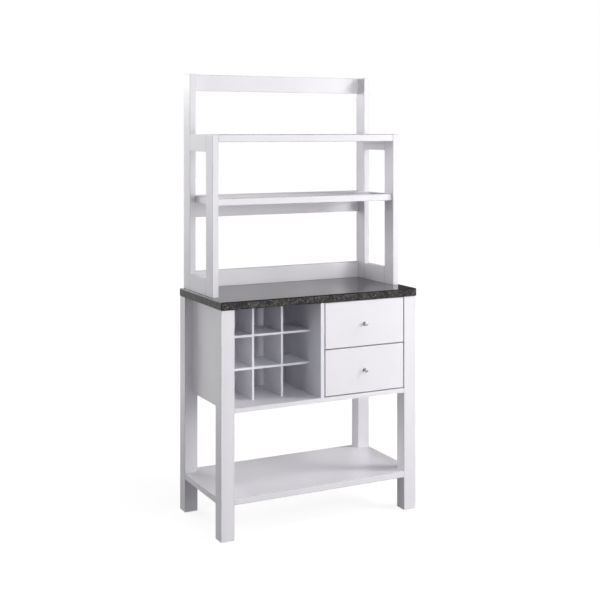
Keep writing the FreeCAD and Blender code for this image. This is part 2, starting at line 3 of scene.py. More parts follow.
import bpy
import numpy as np
from mathutils import Matrix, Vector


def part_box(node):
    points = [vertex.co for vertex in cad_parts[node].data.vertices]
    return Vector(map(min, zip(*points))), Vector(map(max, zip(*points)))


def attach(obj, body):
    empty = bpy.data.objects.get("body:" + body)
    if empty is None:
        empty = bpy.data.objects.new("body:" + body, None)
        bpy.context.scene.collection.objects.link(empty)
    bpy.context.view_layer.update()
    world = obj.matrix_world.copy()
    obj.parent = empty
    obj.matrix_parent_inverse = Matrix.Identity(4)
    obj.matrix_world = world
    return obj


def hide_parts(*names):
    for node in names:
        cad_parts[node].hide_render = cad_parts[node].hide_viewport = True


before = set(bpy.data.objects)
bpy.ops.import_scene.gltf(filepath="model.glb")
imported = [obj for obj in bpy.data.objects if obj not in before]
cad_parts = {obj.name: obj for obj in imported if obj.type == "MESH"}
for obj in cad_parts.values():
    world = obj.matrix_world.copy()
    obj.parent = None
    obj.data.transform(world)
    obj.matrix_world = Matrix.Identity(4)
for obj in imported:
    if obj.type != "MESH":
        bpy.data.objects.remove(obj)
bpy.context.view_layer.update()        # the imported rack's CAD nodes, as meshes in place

# ---- Camera -------------------------------------------------------------------------------
# A view camera stands level with the top shelf, in front of the rack and to its left. Its axis
# dips, but its back stays upright, so that upright edges stay upright. The parent matrix
# holds that slant: its columns are the picture's right, the picture's up and the axis.
FRAME_PX = 600
FOCAL_PX = 1115.75
HORIZON_PX = 131.08                        # how far the horizon lies below the picture's top
SENSOR_MM = 36.0
CAMERA_PLACE = (-2.0847, -4.1180, 1.5642)
CAMERA_HEADING = math.radians(26.91)       # how far the axis turns to the right of +Y

dip = (FRAME_PX / 2 - HORIZON_PX) / FOCAL_PX
stretch = math.hypot(1, dip)
right = (math.cos(CAMERA_HEADING), -math.sin(CAMERA_HEADING), 0)
back = (-math.sin(CAMERA_HEADING), -math.cos(CAMERA_HEADING), dip)
slant = Matrix((right, (0, 0, 1), [part / stretch for part in back])).transposed().to_4x4()
camera_data = bpy.data.cameras.new("view_camera")
camera_data.sensor_width = SENSOR_MM
camera_data.lens = SENSOR_MM * FOCAL_PX / FRAME_PX * stretch
tripod = bpy.data.objects.new("tripod", None)
camera = bpy.data.objects.new("view_camera", camera_data)
for stand in (tripod, camera):
    bpy.context.scene.collection.objects.link(stand)
camera.parent = tripod
camera.matrix_parent_inverse = Matrix.Translation(CAMERA_PLACE) @ slant
bpy.context.scene.camera = camera


# ---- Legs ---------------------------------------------------------------------------------
# Four square legs of solid wood, planed and eased along every edge, then sprayed white.
# Each stands on its glide and carries the counter on its end grain.
LEG_EASE = 0.0018
PAINT_COLOUR = (0.865, 0.848, 0.888, 1)
PAINT_SHADE = (0.835, 0.817, 0.858, 1)
PAINT_ROUGHNESS = (0.29, 0.37)
PAINT_IOR = 1.45
PAINTED_EDGE_SHADE = (0.46, 0.445, 0.47, 1)       # painted shade along the arrises, darker than the paint
EDGE_SHADE_SHARE = (0.35, 0.85)                   # how much of that painted shade shows, in patches
LOWER_EDGE_SHADE = 0.3                      # the lower arrises get less of the painted shade than the others


def node_tree(name):
    """A new material, its new-node and link calls, its shader and the place being shaded."""
    material = bpy.data.materials.new(name)
    material.use_nodes = True
    tree = material.node_tree
    shader = tree.nodes["Principled BSDF"]
    place = tree.nodes.new("ShaderNodeTexCoord").outputs["Object"]
    return material, tree.nodes.new, tree.links.new, shader, place


def noise(new, link, coordinates, scale, detail=3.0, rough=0.5):
    """A noise texture's factor at a scale in features per metre."""
    node = new("ShaderNodeTexNoise")
    node.inputs["Scale"].default_value = scale
    node.inputs["Detail"].default_value = detail
    node.inputs["Roughness"].default_value = rough
    link(coordinates, node.inputs["Vector"])
    return node.outputs["Fac"]


def spread(new, link, value, low, high, to_low=0.0, to_high=1.0):
    """A value between low and high stretched to between to_low and to_high, and held there."""
    node = new("ShaderNodeMapRange")
    node.inputs["From Min"].default_value = low
    node.inputs["From Max"].default_value = high
    node.inputs["To Min"].default_value = to_low
    node.inputs["To Max"].default_value = to_high
    link(value, node.inputs["Value"])
    return node.outputs["Result"]


def blend(new, link, factor, first, second):
    """Two colours, or colour outputs, mixed by a factor."""
    node = new("ShaderNodeMix")
    node.data_type = "RGBA"
    link(factor, node.inputs["Factor"])
    for name, colour in (("A", first), ("B", second)):
        socket = next(s for s in node.inputs if s.name == name and s.type == "RGBA")
        if isinstance(colour, tuple):
            socket.default_value = colour
        else:
            link(colour, socket)
    return next(s for s in node.outputs if s.type == "RGBA")


def combine(new, link, operation, first, second):
    """Two values put through one operation of the maths node, such as their product."""
    node = new("ShaderNodeMath")
    node.operation = operation
    link(first, node.inputs[0])
    link(second, node.inputs[1])
    return node.outputs[0]


def bump(new, link, height, strength, distance, under=None):
    """A bump normal from a height, on top of another one if it is given."""
    node = new("ShaderNodeBump")
    node.inputs["Strength"].default_value = strength
    node.inputs["Distance"].default_value = distance
    link(height, node.inputs["Height"])
    if under:
        link(under, node.inputs["Normal"])
    return node.outputs["Normal"]


def arris_shade_mark(new):
    """How much painted shade the mesh puts on its arrises: 0 on flats and on meshes without
    marks.
    """
    node = new("ShaderNodeAttribute")
    node.attribute_name = "arris"
    return node.outputs["Fac"]


def white_paint(name, colour=PAINT_COLOUR, shade=PAINT_SHADE):
    """Sprayed satin paint: faint orange peel, broad changes of tone, painted shade on arrises.
    """
    material, new, link, shader, place = node_tree(name)
    tone = noise(new, link, place, scale=3.5, detail=4.0, rough=0.6)
    coat = blend(new, link, spread(new, link, tone, 0.35, 0.68), colour, shade)
    # Painted shade on the arrises, broken into patches: the edge colour where the mesh marks
    # them.
    patches = noise(new, link, place, scale=60, detail=5.0, rough=0.7)
    edge_shade = spread(new, link, patches, 0.42, 0.66, *EDGE_SHADE_SHARE)
    shaded_arrises = combine(new, link, "MULTIPLY", arris_shade_mark(new), edge_shade)
    link(blend(new, link, shaded_arrises, coat, PAINTED_EDGE_SHADE), shader.inputs["Base Color"])
    sheen = noise(new, link, place, scale=22, detail=4.0)
    link(spread(new, link, sheen, 0.3, 0.7, *PAINT_ROUGHNESS), shader.inputs["Roughness"])
    peel = noise(new, link, place, scale=420, detail=2.0)
    peel = bump(new, link, peel, strength=0.10, distance=0.0004)
    waves = noise(new, link, place, scale=9)
    waves = bump(new, link, waves, strength=0.10, distance=0.002, under=peel)
    link(waves, shader.inputs["Normal"])
    shader.inputs["IOR"].default_value = PAINT_IOR
    return material


paint = white_paint("white_paint")


def add_mesh(name, points, faces, corner_normals=None, point_normals=None, arris=None):
    """A mesh object at the origin from points, faces and the normals worked out with them."""
    mesh = bpy.data.meshes.new(name)
    mesh.from_pydata(points.tolist(), [], faces)
    mesh.shade_smooth()
    # The arris mark says how much painted shade each point gets.
    if arris is not None:
        edge_shade = mesh.attributes.new("arris", "FLOAT", "POINT")
        edge_shade.data.foreach_set("value", arris.astype(np.float32))
    if corner_normals is not None:
        mesh.normals_split_custom_set(corner_normals.tolist())
    if point_normals is not None:
        mesh.normals_split_custom_set_from_vertices(point_normals.tolist())
    piece = bpy.data.objects.new(name, mesh)
    bpy.context.scene.collection.objects.link(piece)
    return piece


def eased_board(name, low, high, ease):
    """A board whose twelve arrises are rounded.

    A grid lies on each side of the plain box. Each of its points goes to the nearest point of
    the box shrunk by the radius, and from there one radius out towards where it was. The
    grid's lines lie r(1 - tan a) inside each end, for a of 45, 30, 15 and 0 degrees, which
    spaces them evenly round the arris, and one more line lies at 3 r.
    """
    low, high = np.array(low, float), np.array(high, float)
    inset = ease * np.append(1 - np.tan(np.radians((45, 30, 15, 0))), 3.0)
    lines = [np.concatenate((low[i] + inset, (high[i] - inset)[::-1])) for i in range(3)]
    count = len(lines[0])
    row, column = np.meshgrid(np.arange(count), np.arange(count), indexing="ij")
    corner = (row * count + column)[:-1, :-1].ravel()
    quad = np.stack((corner, corner + count, corner + count + 1, corner + 1), axis=1)
    grids, quads = [], []
    for axis in range(3):
        across, along = (axis + 1) % 3, (axis + 2) % 3
        for end, flip in ((low, True), (high, False)):
            grid = np.empty((count * count, 3))
            grid[:, axis] = end[axis]
            grid[:, across] = lines[across][row.ravel()]
            grid[:, along] = lines[along][column.ravel()]
            quads.append((quad[:, ::-1] if flip else quad) + len(grids) * count * count)
            grids.append(grid)
    outer = np.concatenate(grids)
    heart = np.clip(outer, low + ease, high - ease)
    normals = outer - heart
    normals /= np.linalg.norm(normals, axis=1, keepdims=True)
    points = heart + ease * normals
    rounded = np.round(points, 7)
    _, first, same = np.unique(rounded, axis=0, return_index=True, return_inverse=True)
    faces = same.ravel()[np.concatenate(quads)].tolist()
    # Painted shade on the arrises: full on the upper ones, less on those that face down.
    faces_down = normals[:, 2] < -0.1
    on_arris = np.abs(normals).max(axis=1) < 0.999
    arris = np.where(faces_down, LOWER_EDGE_SHADE, 1.0) * on_arris
    return add_mesh(
        name, points[first], faces, point_normals=normals[first], arris=arris[first])


def dress(piece, material, slot, body, *nodes):
    """Gives a new piece its material and body, and lets it stand for the CAD nodes."""
    piece.data.materials.append(material)
    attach(piece, body)
    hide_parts(*nodes)


def painted_board(node, ease, body="frame"):
    """The finished board in the place of one CAD board."""
    low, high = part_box(node)
    board = eased_board(node + "_board", low, high, ease)
    dress(board, paint, "white_paint", body, node)


for row in ("front", "rear"):
    for side in ("left", "right"):
        painted_board("leg_" + row + "_" + side, LEG_EASE)


# ---- Glides -------------------------------------------------------------------------------
# A nylon disc nailed under each leg. It is a plain moulding with a softened rim, so the
# turned discs of the CAD model stay, in a material of their own.
NYLON_COLOUR = (0.70, 0.69, 0.66, 1)
NYLON_CLOUD = (0.62, 0.61, 0.58, 1)
NYLON_ROUGHNESS = (0.42, 0.6)


def moulded_plastic(name):
    """Moulded nylon: nearly even, with a fine grain from the tool and cloudy thin places."""
    material, new, link, shader, place = node_tree(name)
    cloud = spread(new, link, noise(new, link, place, scale=70), 0.35, 0.65)
    link(blend(new, link, cloud, NYLON_COLOUR, NYLON_CLOUD), shader.inputs["Base Color"])
    grain = noise(new, link, place, scale=2200, detail=2.0)
    link(spread(new, link, grain, 0.3, 0.7, *NYLON_ROUGHNESS), shader.inputs["Roughness"])
    link(bump(new, link, grain, strength=0.15, distance=0.0001), shader.inputs["Normal"])
    return material


def refinish(material, *nodes):
    """Puts a material on CAD nodes whose shape stays."""
    for node in nodes:
        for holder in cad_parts[node].material_slots:
            holder.link = "OBJECT"
            holder.material = material


nylon = moulded_plastic("nylon")
refinish(nylon, "leg_glides")


# ---- Low shelf ----------------------------------------------------------------------------
# One thick board as wide and deep as the frame, notched round the four legs and held to
# them by cam fittings from below. Its outer edges are flush with the legs.
SHELF_EASE = 0.0025


def eased_slab(name, outline, low, high, ease):
    """A board cut to an outline, with the arrises round both faces rounded.

    A ring of the outline stands at each of several angles a from -90 to 90 degrees: it lies
    r(1 - cos a) inside the outline, and r sin a beyond the start of its arris. Quads join
    each ring to the next, and the first and last rings are closed by a flat face.
    """
    outline = np.array(outline, float)
    ahead = np.roll(outline, -1, axis=0) - outline
    ahead /= np.linalg.norm(ahead, axis=1, keepdims=True)
    side_out = np.stack((ahead[:, 1], -ahead[:, 0]), axis=1)
    before = np.roll(side_out, 1, axis=0)
    mitre = (side_out + before) / (1 + (side_out * before).sum(axis=1, keepdims=True))
    angles = np.radians((-90, -60, -30, 0, 0, 30, 60, 90))
    starts = np.array([low + ease] * 4 + [high - ease] * 4)
    heights = starts + ease * np.sin(angles)
    count, rings = len(outline), len(angles)
    flat = outline[None] - (ease * (1 - np.cos(angles)))[:, None, None] * mitre[None]
    points = np.concatenate((flat, np.repeat(heights[:, None, None], count, axis=1)), axis=2)
    ring, step = np.meshgrid(np.arange(rings - 1), np.arange(count), indexing="ij")
    here, there = ring * count + step, ring * count + (step + 1) % count
    quads = np.stack((here, there, there + count, here + count), axis=2).reshape(-1, 4)
    lift = np.stack((angles[ring], angles[ring], angles[ring + 1], angles[ring + 1]), axis=2)
    normals = np.concatenate((
        np.cos(lift)[..., None] * side_out[step][:, :, None, :],
        np.sin(lift)[..., None],
    ), axis=3).reshape(-1, 3)
    bottom = np.arange(count)[::-1]
    top = np.arange(count) + (rings - 1) * count
    faces = quads.tolist() + [bottom.tolist(), top.tolist()]
    caps = np.repeat([[0.0, 0.0, -1.0], [0.0, 0.0, 1.0]], count, axis=0)
    normals = np.concatenate((normals, caps))
    # Painted shade on every rounded arris of the slab.
    arris = np.repeat(1.0 * (np.abs(np.sin(angles)) % 1 > 0.01), count)
    return add_mesh(name, points.reshape(-1, 3), faces, corner_normals=normals, arris=arris)


def notched_outline(low, high, leg):
    """The shelf's plan, anticlockwise: a rectangle with a square taken out of each corner."""
    (x0, y0), (x1, y1) = low, high
    return [
        (x0 + leg, y0), (x1 - leg, y0), (x1 - leg, y0 + leg), (x1, y0 + leg),
        (x1, y1 - leg), (x1 - leg, y1 - leg), (x1 - leg, y1), (x0 + leg, y1),
        (x0 + leg, y1 - leg), (x0, y1 - leg), (x0, y0 + leg), (x0 + leg, y0 + leg),
    ]


shelf_low, shelf_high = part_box("lower_shelf")
leg_low, leg_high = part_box("leg_front_left")
low_plan = notched_outline(shelf_low[:2], shelf_high[:2], leg_high[0] - leg_low[0])
low_shelf = eased_slab("low_shelf_board", low_plan, shelf_low[2], shelf_high[2], SHELF_EASE)
dress(low_shelf, paint, "white_paint", "frame", "lower_shelf")


# ---- Cabinet panels -----------------------------------------------------------------------
# Side panels, floor and centre partition are white-faced boards with banded edges, grooved
# for the back panel and housed for the slats. Their machining is in the CAD model, and stays.
FACING_COLOUR = (0.848, 0.846, 0.905, 1)   # the partition and the slats are a cooler white
FACING_SHADE = (0.818, 0.816, 0.875, 1)
facing = white_paint("white_facing", FACING_COLOUR, FACING_SHADE)
refinish(paint, "side_panel_left", "side_panel_right", "cabinet_floor")
refinish(facing, "centre_partition")


# ---- Back panel ---------------------------------------------------------------------------
# A sheet of hardboard slid into the grooves: smooth and white towards the bays, bare and
# brown on its rough back, where the weave of the pressing screen shows.
# The foil's grey-white is darker than the paint: painted shade for the deep bays.
SHADED_FOIL_COLOUR = (0.61, 0.605, 0.67, 1)
SHADED_FOIL_TONE = (0.575, 0.57, 0.635, 1)
FIBRE_COLOUR = (0.33, 0.20, 0.11, 1)
FIBRE_SHADE = (0.22, 0.125, 0.065, 1)
FOIL_DEPTH = 0.0055            # how much of the sheet's thickness reads as its white side
FOIL_ROUGHNESS = 0.5
FIBRE_ROUGHNESS = 0.85
SCREEN_SCALE = 320
SCREEN_WIRE = 0.12             # the wires' width as a share of the mesh


def hardboard(name, face_end):
    """Off-white foil up to a plane across the thickness, and bare brown fibre behind it."""
    material, new, link, shader, place = node_tree(name)
    parts = new("ShaderNodeSeparateXYZ")
    link(place, parts.inputs[0])
    test = new("ShaderNodeMath")
    test.operation = "GREATER_THAN"
    test.inputs[1].default_value = face_end
    link(parts.outputs["Y"], test.inputs[0])
    behind = test.outputs[0]
    fibre = noise(new, link, place, scale=260, detail=6.0, rough=0.75)
    fibre = spread(new, link, fibre, 0.35, 0.65)
    brown = blend(new, link, fibre, FIBRE_COLOUR, FIBRE_SHADE)
    tone = spread(new, link, noise(new, link, place, scale=4), 0.35, 0.65)
    # The white side takes the grey-white colours that hold the bays' painted shade.
    foil = blend(new, link, tone, SHADED_FOIL_COLOUR, SHADED_FOIL_TONE)
    link(blend(new, link, behind, foil, brown), shader.inputs["Base Color"])
    matt = spread(new, link, behind, 0, 1, FOIL_ROUGHNESS, FIBRE_ROUGHNESS)
    link(matt, shader.inputs["Roughness"])
    upright = new("ShaderNodeMapping")
    upright.inputs["Rotation"].default_value = (math.pi / 2, 0, 0)
    link(place, upright.inputs["Vector"])
    screen = new("ShaderNodeTexBrick")
    screen.offset = 0.0
    screen.inputs["Scale"].default_value = SCREEN_SCALE
    screen.inputs["Mortar Size"].default_value = SCREEN_WIRE
    link(upright.outputs["Vector"], screen.inputs["Vector"])
    weave = combine(new, link, "MULTIPLY", screen.outputs["Fac"], behind)
    link(bump(new, link, weave, strength=0.4, distance=0.0004), shader.inputs["Normal"])
    return material


foil_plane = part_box("back_panel")[0][1] + FOIL_DEPTH
refinish(hardboard("hardboard", foil_plane), "back_panel")


# ---- Wine lattice -------------------------------------------------------------------------
# Two thin uprights and two levels slide into each other with half-lap slots, and their ends
# sit in housings in the cabinet's floor, side panel and partition.
refinish(facing, "wine_upright_1", "wine_upright_2", "wine_level_1", "wine_level_2")


# ---- Countertop ---------------------------------------------------------------------------
# A thick slab faced with dark stone-look laminate: blotches of charcoal, olive and blue grey
# with pale flecks, with a glossy skin on top. It lies on the legs and panels, held by dowels.
COUNTER_EASE = 0.0045
COUNTER_IOR = 1.55
TOP_SHINE = 0.5
EDGE_SHINE = 0.15                      # the edges are duller than the top
TOP_ROUGHNESS = (0.04, 0.07)
EDGE_ROUGHNESS = 0.40
SKIN_START = (0.0007, 0.0001)          # depths below the top between which the skin begins
CHARCOAL = (0.010, 0.009, 0.009, 1)
OLIVE_GREY = (0.108, 0.106, 0.084, 1)
BLUE_GREY = (0.080, 0.077, 0.083, 1)
BROWN_GREY = (0.112, 0.097, 0.085, 1)
PALE_FLECK = (0.27, 0.26, 0.235, 1)
PAINTED_TOP_REFLECTION = (0.17, 0.172, 0.22, 1)     # a painted cool reflection in the clear skin, on the top only
TOP_REFLECTION_SHARE = (0.03, 0.17)
GRAIN_SCALE = 200
SWELL_STRETCH = (0.25, 1.0, 1.0)       # the skin's swell runs along the counter


def stretched(new, link, coordinates, scale):
    """Coordinates scaled axis by axis: a pattern is drawn out along those under 1."""
    node = new("ShaderNodeMapping")
    node.inputs["Scale"].default_value = scale
    link(coordinates, node.inputs["Vector"])
    return node.outputs["Vector"]


def fade(new, link, factor, number, value):
    """A plain number that gives way to a value as the factor goes from 0 to 1."""
    node = new("ShaderNodeMix")
    link(factor, node.inputs[0])
    node.inputs[2].default_value = number
    link(value, node.inputs[3])
    return node.outputs[0]


def stone_laminate(name, top):
    """Printed stone: three tones in blotches over charcoal, broken by grains and flecks.

    It is glossy at the height of the top face and dull below it.
    """
    material, new, link, shader, place = node_tree(name)
    warm = spread(new, link, noise(new, link, place, scale=11), 0.49, 0.64)
    tint = blend(new, link, warm, BLUE_GREY, OLIVE_GREY)
    brown = spread(new, link, noise(new, link, place, scale=17, detail=4.0), 0.54, 0.66)
    tint = blend(new, link, brown, tint, BROWN_GREY)
    blotch = noise(new, link, place, scale=62, detail=8.0, rough=0.78)
    stone = blend(new, link, spread(new, link, blotch, 0.43, 0.60), CHARCOAL, tint)
    vein = noise(new, link, place, scale=130, detail=4.0, rough=0.7)
    vein = spread(new, link, vein, 0.48, 0.56, 0, 0.8)
    stone = blend(new, link, vein, stone, CHARCOAL)
    grain = new("ShaderNodeTexVoronoi")
    grain.inputs["Scale"].default_value = GRAIN_SCALE
    link(place, grain.inputs["Vector"])
    chance = new("ShaderNodeSeparateColor")
    link(grain.outputs["Color"], chance.inputs[0])
    rare = spread(new, link, chance.outputs["Red"], 0.70, 0.92)
    near = spread(new, link, grain.outputs["Distance"], 0.15, 0.60, 0.85, 0)
    fleck = combine(new, link, "MULTIPLY", rare, near)
    stone = blend(new, link, fleck, stone, PALE_FLECK)
    height = new("ShaderNodeSeparateXYZ")
    link(place, height.inputs[0])
    skin = spread(new, link, height.outputs["Z"], *(top - depth for depth in SKIN_START))
    # A pale cool painted reflection lies in patches on the top face.
    top_reflection = noise(new, link, place, scale=22, detail=5.0, rough=0.7)
    top_reflection = spread(new, link, top_reflection, 0.36, 0.64, *TOP_REFLECTION_SHARE)
    stone = blend(new, link, skin, stone, blend(new, link, top_reflection, stone, PAINTED_TOP_REFLECTION))
    # The arrises are painted charcoal: a painted shade line along the counter's edges.
    stone = blend(new, link, arris_shade_mark(new), stone, CHARCOAL)
    link(stone, shader.inputs["Base Color"])
    shine = spread(new, link, skin, 0, 1, EDGE_SHINE, TOP_SHINE)
    link(shine, shader.inputs["Specular IOR Level"])
    polish = noise(new, link, place, scale=30, detail=4.0)
    polish = spread(new, link, polish, 0.3, 0.7, *TOP_ROUGHNESS)
    link(fade(new, link, skin, EDGE_ROUGHNESS, polish), shader.inputs["Roughness"])
    swell = noise(new, link, stretched(new, link, place, SWELL_STRETCH), scale=14)
    link(bump(new, link, swell, strength=0.12, distance=0.002), shader.inputs["Normal"])
    shader.inputs["IOR"].default_value = COUNTER_IOR
    return material


counter_low, counter_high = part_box("countertop")
countertop = eased_board("countertop_slab", counter_low, counter_high, COUNTER_EASE)
stone = stone_laminate("stone_laminate", counter_high[2])
dress(countertop, stone, "speckled_counter", "frame", "countertop")


# ---- Drawer boxes -------------------------------------------------------------------------
# Thin foiled boards, dowelled at the corners, with a bottom panel in a groove all round.
# The boxes stay as the CAD model has them, with the foil's faint linen grain.
LINING_COLOUR = (0.78, 0.78, 0.79, 1)
LINING_SHADE = (0.73, 0.73, 0.745, 1)
LINING_ROUGHNESS = (0.5, 0.66)
THREAD_STRETCH = (1.0, 0.08, 1.0)
DRAWERS = ("lower_drawer", "upper_drawer")
BOX_BOARDS = ("_side_left", "_side_right", "_back", "_bottom")


def foiled_board(name):
    """Drawer foil: fine threads along Y pressed into a matte white film."""
    material, new, link, shader, place = node_tree(name)
    lengthwise = stretched(new, link, place, THREAD_STRETCH)
    thread = noise(new, link, lengthwise, scale=900, rough=0.6)
    tone = spread(new, link, thread, 0.35, 0.65)
    link(blend(new, link, tone, LINING_COLOUR, LINING_SHADE), shader.inputs["Base Color"])
    link(spread(new, link, thread, 0.3, 0.7, *LINING_ROUGHNESS), shader.inputs["Roughness"])
    link(bump(new, link, thread, strength=0.2, distance=0.0002), shader.inputs["Normal"])
    return material


lining = foiled_board("drawer_foil")
for drawer in DRAWERS:
    refinish(lining, *(drawer + board for board in BOX_BOARDS))


# ---- Dowels -------------------------------------------------------------------------------
# Fluted beech dowels, glued in the corners of the drawers and in every joint of the frame.
# Each is out of sight once its joint is closed.
BEECH_COLOUR = (0.62, 0.43, 0.26, 1)
BEECH_FLECK = (0.46, 0.29, 0.16, 1)
BEECH_ROUGHNESS = (0.55, 0.75)
STREAK_STRETCH = (1.0, 0.15, 0.15)


def bare_wood(name):
    """Beech: long streaks with short dark flecks."""
    material, new, link, shader, place = node_tree(name)
    lengthwise = stretched(new, link, place, STREAK_STRETCH)
    streak = noise(new, link, lengthwise, scale=600, detail=5.0, rough=0.7)
    tone = spread(new, link, streak, 0.3, 0.7)
    link(blend(new, link, tone, BEECH_COLOUR, BEECH_FLECK), shader.inputs["Base Color"])
    link(spread(new, link, streak, 0.3, 0.7, *BEECH_ROUGHNESS), shader.inputs["Roughness"])
    return material


beech = bare_wood("beech")
refinish(beech, "wood_dowels", *(drawer + "_dowels" for drawer in DRAWERS))


# ---- Runners and steel fasteners ----------------------------------------------------------
# Cold-rolled channels, zinc plated: one pair on the cabinet and one on each drawer, with
# pan-head screws and nylon pads. Cam bolts, locks and hutch screws are plated alike.
ZINC_COLOUR = (0.66, 0.67, 0.69, 1)
ZINC_SPANGLE = (0.52, 0.53, 0.56, 1)
ZINC_ROUGHNESS = (0.28, 0.45)
DRAWING_STRETCH = (1.0, 0.04, 1.0)


def zinc_plate(name):
    """Bright zinc: a metal with cloudy spangle and fine drawing marks along Y."""
    material, new, link, shader, place = node_tree(name)
    spangle = noise(new, link, place, scale=140, detail=5.0, rough=0.7)
    spangle = spread(new, link, spangle, 0.3, 0.7)
    link(blend(new, link, spangle, ZINC_COLOUR, ZINC_SPANGLE), shader.inputs["Base Color"])
    shader.inputs["Metallic"].default_value = 1.0
    drawn = noise(new, link, stretched(new, link, place, DRAWING_STRETCH), scale=1500)
    link(spread(new, link, drawn, 0.3, 0.7, *ZINC_ROUGHNESS), shader.inputs["Roughness"])
    link(bump(new, link, drawn, strength=0.12, distance=0.0001), shader.inputs["Normal"])
    return material


zinc = zinc_plate("zinc_plate")
refinish(zinc, "cabinet_runners_lower", "cabinet_runners_upper", "cabinet_runner_screws")
refinish(zinc, "cam_bolts", "cam_locks", "hutch_screws")
refinish(nylon, "cabinet_runner_pads")
for drawer in DRAWERS:
    refinish(zinc, drawer + "_runners", drawer + "_runner_screws", drawer + "_knob_screw")
    refinish(nylon, drawer + "_pads")


# ---- Drawer fronts ------------------------------------------------------------------------
# Two slab fronts, flush with the legs, painted like the frame. The knob's screw comes through
# from inside, and the sides are dowelled to the back face.
FRONT_EASE = 0.0016
for drawer in DRAWERS:
    painted_board(drawer + "_front", FRONT_EASE, body=drawer)


# ---- Knobs --------------------------------------------------------------------------------
# Turned from bar and brushed: a small foot, a waisted neck and a domed head.
# A machine screw holds each through the drawer front.
KNOB_FOOT_RADIUS = 0.0064
KNOB_FOOT_HEIGHTS = (0.0, 0.0016)
KNOB_NECK_START = (0.0020, 0.96)           # height, and share of the foot's radius
KNOB_NECK_HEIGHTS = (0.0048, 0.0084)       # the narrowest stretch
KNOB_NECK_RADIUS = 0.0042
KNOB_UNDER_RADIUS = 0.0064                 # where the flare meets the head
KNOB_HEAD_HEIGHT = 0.0140
KNOB_WIDEST_HEIGHT = 0.0164
KNOB_RIM_RADIUS = 0.0074
KNOB_CROWN = 0.0014                        # from the rim to the middle of the face
KNOB_SHY = 0.00005                         # kept inside the turned blank's radius
KNOB_RINGS = 8                             # points along each curve of the profile
KNOB_FLARE_RINGS = 10
KNOB_TURNS = 64                            # points round each ring
NICKEL_COLOUR = (0.42, 0.41, 0.41, 1)
NICKEL_SHADE = (0.33, 0.325, 0.325, 1)
NICKEL_ROUGHNESS = (0.30, 0.42)
BRUSHING_SCALE = 900


def ease_between(start, end, count):
    """Heights and a share that runs from 0 to 1 along half a cosine wave."""
    share = np.linspace(0, 1, count)
    return start + (end - start) * share, (1 - np.cos(math.pi * share)) / 2


def turned_knob(name, foot_centre, head_radius, reach):
    """A profile of height and radius carried round the knob's axis, which points to -Y.

    The foot is a short cylinder. The waist runs in and out again along half cosine waves.
    The head is a quarter ellipse out to its widest ring, a quarter ellipse in to the rim,
    and a shallow parabola to the middle of the face.
    """
    neck_start, foot_share = KNOB_NECK_START
    neck_top = KNOB_FOOT_RADIUS * foot_share
    narrow_end, flare_start = KNOB_NECK_HEIGHTS
    narrow_height, narrow = ease_between(neck_start, narrow_end, KNOB_RINGS)
    flare_height, flare = ease_between(flare_start, KNOB_HEAD_HEIGHT, KNOB_FLARE_RINGS)
    swell = np.radians(np.linspace(0, 90, KNOB_RINGS))[1:]
    rim_height = reach - KNOB_CROWN
    face = np.linspace(1, 0, KNOB_RINGS)[1:]
    height = np.concatenate((
        KNOB_FOOT_HEIGHTS, narrow_height, flare_height,
        KNOB_HEAD_HEIGHT + (KNOB_WIDEST_HEIGHT - KNOB_HEAD_HEIGHT) * np.sin(swell) ** 2,
        KNOB_WIDEST_HEIGHT + (rim_height - KNOB_WIDEST_HEIGHT) * np.sin(swell),
        rim_height + (reach - rim_height) * (1 - face ** 2),
    ))
    radius = np.concatenate((
        [KNOB_FOOT_RADIUS, KNOB_FOOT_RADIUS],
        neck_top + (KNOB_NECK_RADIUS - neck_top) * narrow,
        KNOB_NECK_RADIUS + (KNOB_UNDER_RADIUS - KNOB_NECK_RADIUS) * flare,
        KNOB_UNDER_RADIUS + (head_radius - KNOB_UNDER_RADIUS) * np.sin(swell),
        KNOB_RIM_RADIUS + (head_radius - KNOB_RIM_RADIUS) * np.cos(swell),
        KNOB_RIM_RADIUS * face,
    ))[:-1]
    turn = np.arange(KNOB_TURNS) * 2 * math.pi / KNOB_TURNS
    x, y, z = foot_centre
    rings = np.stack((
        x + radius[:, None] * np.cos(turn),
        y - height[:-1, None] + 0 * turn,
        z + radius[:, None] * np.sin(turn),
    ), axis=2)
    count = len(radius)
    points = np.concatenate((rings.reshape(-1, 3), [[x, y, z], [x, y - reach, z]]))
    ring, step = np.meshgrid(np.arange(count - 1), np.arange(KNOB_TURNS), indexing="ij")
    here, there = ring * KNOB_TURNS + step, ring * KNOB_TURNS + (step + 1) % KNOB_TURNS
    quads = np.stack((here, there, there + KNOB_TURNS, here + KNOB_TURNS), axis=2).reshape(-1, 4)
    step = np.arange(KNOB_TURNS)
    following = (step + 1) % KNOB_TURNS
    last = (count - 1) * KNOB_TURNS
    root = np.full_like(step, count * KNOB_TURNS)
    back = np.stack((root, following, step), axis=1)
    front = np.stack((root + 1, last + step, last + following), axis=1)
    return add_mesh(name, points, quads.tolist() + back.tolist() + front.tolist())


